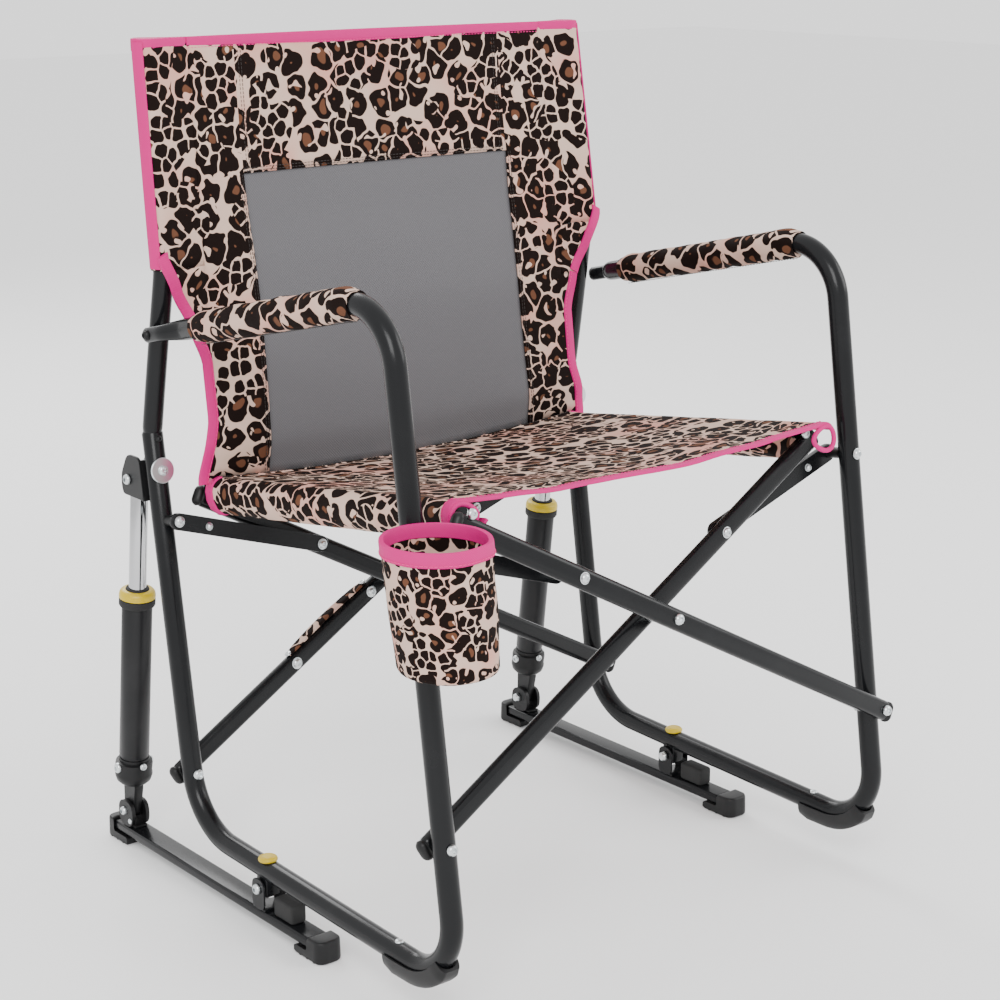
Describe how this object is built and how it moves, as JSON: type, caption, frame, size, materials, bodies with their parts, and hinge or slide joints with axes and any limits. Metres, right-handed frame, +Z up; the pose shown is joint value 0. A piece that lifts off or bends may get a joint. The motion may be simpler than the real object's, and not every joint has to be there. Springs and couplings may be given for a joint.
{
  "type": "camp rocking chair",
  "caption": "Folding camp chair that rocks on sprung struts over flat ground bars, with a sling seat, a back with a mesh window, padded armrests and a cup holder.",
  "frame": {"origin": "middle of the footprint at floor level, under the box of the whole chair", "axes": "+Z up, -Y the way the sitter looks, +X the sitter's left"},
  "size_m": [0.6636, 0.68, 0.8842],
  "materials": {
    "charcoal_tube": "gloss charcoal powder coat",
    "black_plastic": "moulded black",
    "black_rubber": "matt",
    "black_cylinder": "satin black",
    "chrome_rod": "polished",
    "yellow_plastic": "moulded yellow",
    "zinc_steel": "zinc plated",
    "grey_mesh": "coated open mesh",
    "print_fabric": "woven polyester with a dark spotted animal print"
  },
  "bodies": {
    "frame_right": {"armrest_sleeve_right": "print_fabric", "back_panel": "print_fabric", "back_upright_right": "charcoal_tube", "back_window": "grey_mesh", "cup_holder": "print_fabric", "foot_right": "black_plastic", "front_pivot_bolt_right": "zinc_steel", "rail_cap_right": "yellow_plastic", "rear_pivot_bolt_right": "zinc_steel", "side_frame_right": "charcoal_tube", "strut_top_bolt_right": "zinc_steel", "strut_top_bracket_right": "black_plastic"},
    "x_frame_a": {"front_bar_a": "charcoal_tube", "rear_bar_a": "charcoal_tube", "seat_rail_right": "charcoal_tube", "cross_bolt_front": "zinc_steel", "cross_bolt_rear": "zinc_steel"},
    "x_frame_b": {"front_bar_b": "charcoal_tube", "rear_bar_b": "charcoal_tube", "seat_rail_left": "charcoal_tube", "seat_panel": "print_fabric", "carry_handle": "print_fabric"},
    "frame_left": {"side_frame_left": "charcoal_tube", "back_upright_left": "charcoal_tube", "rail_cap_left": "yellow_plastic", "foot_left": "black_plastic", "armrest_sleeve_left": "print_fabric", "strut_top_bracket_left": "black_plastic", "strut_top_bolt_left": "zinc_steel", "front_pivot_bolt_left": "zinc_steel", "rear_pivot_bolt_left": "zinc_steel"},
    "links_right": {"front_link_right": "charcoal_tube", "rear_link_right": "charcoal_tube"},
    "base_right": {"base_bar_right": "charcoal_tube", "base_front_cap_right": "black_plastic", "base_rear_cap_right": "black_plastic", "pivot_bracket_right": "charcoal_tube", "rock_bolt_right": "zinc_steel", "bumper_right": "black_rubber", "strut_bracket_right": "black_plastic"},
    "rod_right": {"strut_rod_right": "chrome_rod"},
    "cylinder_right": {"strut_cylinder_right": "black_cylinder", "strut_collar_right": "yellow_plastic", "strut_spring_right": "zinc_steel", "strut_knuckle_right": "black_plastic"},
    "links_left": {"front_link_left": "charcoal_tube", "rear_link_left": "charcoal_tube"},
    "base_left": {"base_bar_left": "charcoal_tube", "base_front_cap_left": "black_plastic", "base_rear_cap_left": "black_plastic", "pivot_bracket_left": "charcoal_tube", "rock_bolt_left": "zinc_steel", "bumper_left": "black_rubber", "strut_bracket_left": "black_plastic"},
    "rod_left": {"strut_rod_left": "chrome_rod"},
    "cylinder_left": {"strut_cylinder_left": "black_cylinder", "strut_collar_left": "yellow_plastic", "strut_spring_left": "zinc_steel", "strut_knuckle_left": "black_plastic"}
  },
  "joints": [
    {"name": "fold", "type": "hinge", "parent": "frame_right", "child": "x_frame_b", "pos_m": [-0.26361, -0.1897, 0.17605], "axis": [0, -0.989, 0.1478], "range_deg": [0, 50], "deforming": ["seat_panel", "back_panel", "back_window"]},
    {"name": "fold_cross", "type": "hinge", "parent": "x_frame_b", "child": "x_frame_a", "pos_m": [0.02199, -0.16649, 0.33133], "axis": [0, -0.989, 0.1478], "range_deg": [-100, 0]},
    {"name": "fold_left", "type": "hinge", "parent": "x_frame_a", "child": "frame_left", "pos_m": [0.30759, -0.1897, 0.17605], "axis": [0, -0.989, 0.1478], "range_deg": [0, 50]},
    {"name": "link_right_swing", "type": "hinge", "parent": "frame_right", "child": "links_right", "pos_m": [-0.26361, -0.1492, 0.44704], "axis": [0, -0.989, 0.1478], "range_deg": [0, 95]},
    {"name": "link_left_swing", "type": "hinge", "parent": "frame_left", "child": "links_left", "pos_m": [0.30759, -0.1492, 0.44704], "axis": [0, -0.989, 0.1478], "range_deg": [-95, 0]},
    {"name": "rock_right", "type": "hinge", "parent": "frame_right", "child": "base_right", "pos_m": [-0.26361, 0.02979, 0.0437], "axis": [1, 0, 0], "range_deg": [-7, 14], "stiffness_Nm_per_rad": 200},
    {"name": "strut_swing_right", "type": "hinge", "parent": "frame_right", "child": "rod_right", "pos_m": [-0.26361, 0.25601, 0.43], "axis": [1, 0, 0], "range_deg": [-0.5, 0.9]},
    {"name": "strut_slide_right", "type": "slide", "parent": "rod_right", "child": "cylinder_right", "axis": [0, -0.1192, 0.9929], "range_m": [-0.035, 0.068], "deforming": ["strut_spring_right"]},
    {"name": "rock_left", "type": "hinge", "parent": "frame_left", "child": "base_left", "pos_m": [0.30759, 0.02979, 0.0437], "axis": [1, 0, 0], "range_deg": [-7, 14], "stiffness_Nm_per_rad": 200},
    {"name": "strut_swing_left", "type": "hinge", "parent": "frame_left", "child": "rod_left", "pos_m": [0.30759, 0.25601, 0.43], "axis": [1, 0, 0], "range_deg": [-0.5, 0.9]},
    {"name": "strut_slide_left", "type": "slide", "parent": "rod_left", "child": "cylinder_left", "axis": [0, -0.1192, 0.9929], "range_m": [-0.035, 0.068], "deforming": ["strut_spring_left"]}
  ],
  "couplings": [
    {"joint": "fold_cross", "follows": "fold", "ratio": -2},
    {"joint": "fold_left", "follows": "fold", "ratio": 1},
    {"joint": "link_right_swing", "follows": "fold", "ratio": 1.887},
    {"joint": "link_left_swing", "follows": "fold", "ratio": -1.887},
    {"joint": "rock_left", "follows": "rock_right", "ratio": 1},
    {"joint": "strut_swing_right", "follows": "rock_right", "ratio": 0.058},
    {"joint": "strut_slide_right", "follows": "rock_right", "m_per_rad": 0.2712},
    {"joint": "strut_swing_left", "follows": "rock_right", "ratio": 0.058},
    {"joint": "strut_slide_left", "follows": "rock_right", "m_per_rad": 0.2712}
  ]
}
